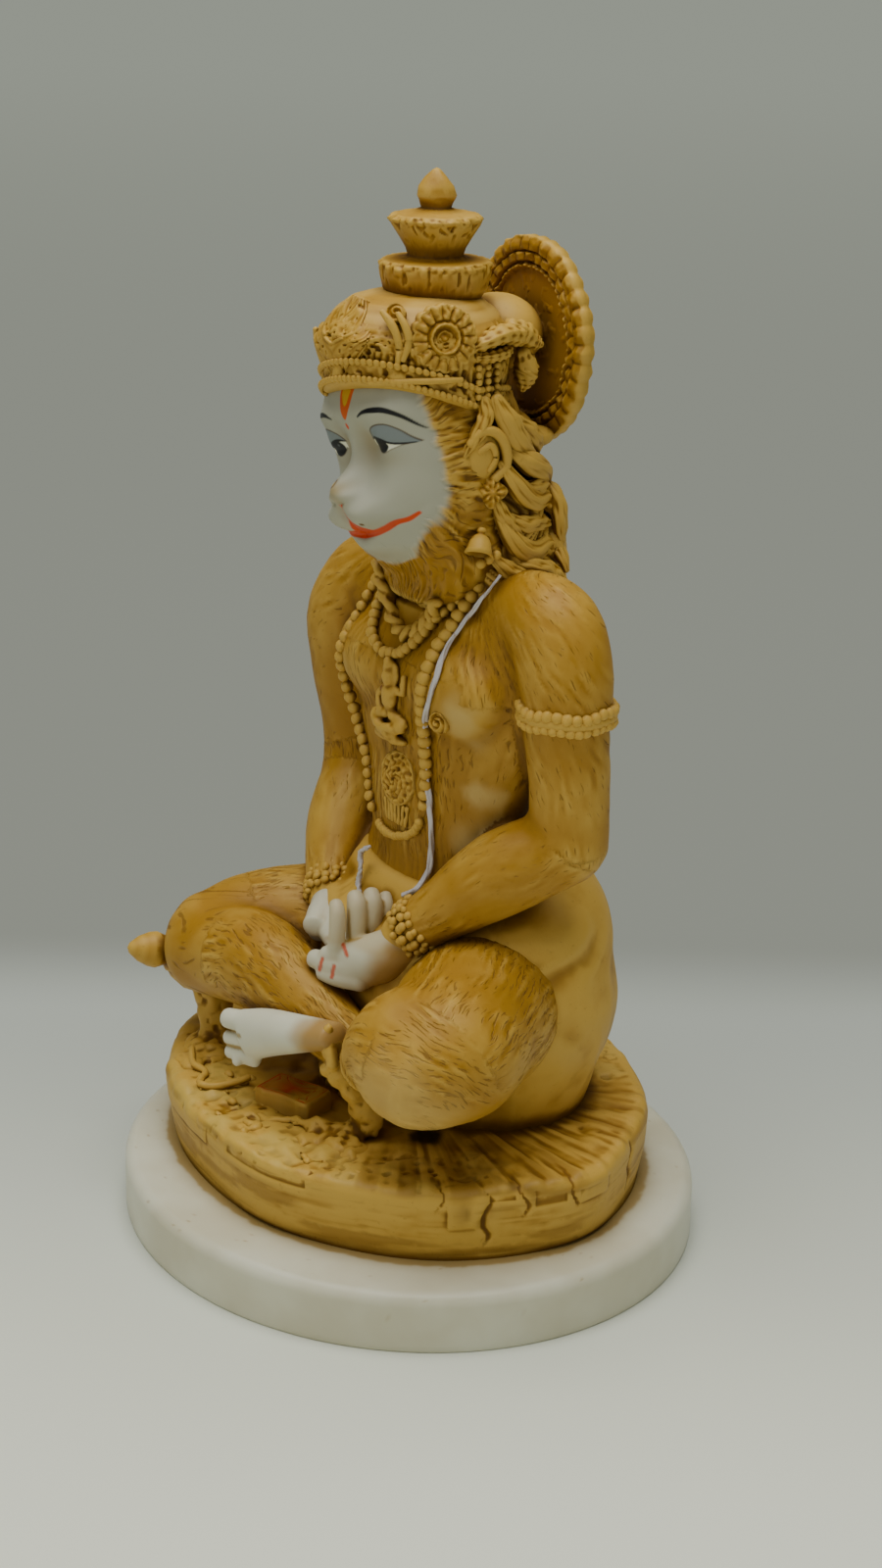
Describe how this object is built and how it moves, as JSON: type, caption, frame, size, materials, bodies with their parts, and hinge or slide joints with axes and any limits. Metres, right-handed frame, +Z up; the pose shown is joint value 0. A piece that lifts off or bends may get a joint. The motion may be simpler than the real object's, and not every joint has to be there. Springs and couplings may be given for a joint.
{
  "type": "hanuman figure",
  "caption": "Cast statue of seated Hanuman in meditation, cross-legged on a rough oval rock, with crown, halo plate, bead necklaces and mace, on a smooth oval plinth.",
  "frame": {"origin": "centre of the plinth's underside", "axes": "+Z up through the crown's bud; the figure looks along -Y and its left side is +X; +X runs along the plinth's long axis"},
  "size_m": [0.12, 0.11, 0.203],
  "materials": {
    "cast_figure": "satin cast marble dust in resin, ivory with an ochre and brown wash in the hollows; face, hands and foot left white",
    "cast_plinth": "satin white cast marble dust in resin, rounded upper edge, brown stain round the rock"
  },
  "bodies": {
    "root": {"hanuman_figure": "cast_figure", "oval_plinth": "cast_plinth"}
  },
  "joints": []
}
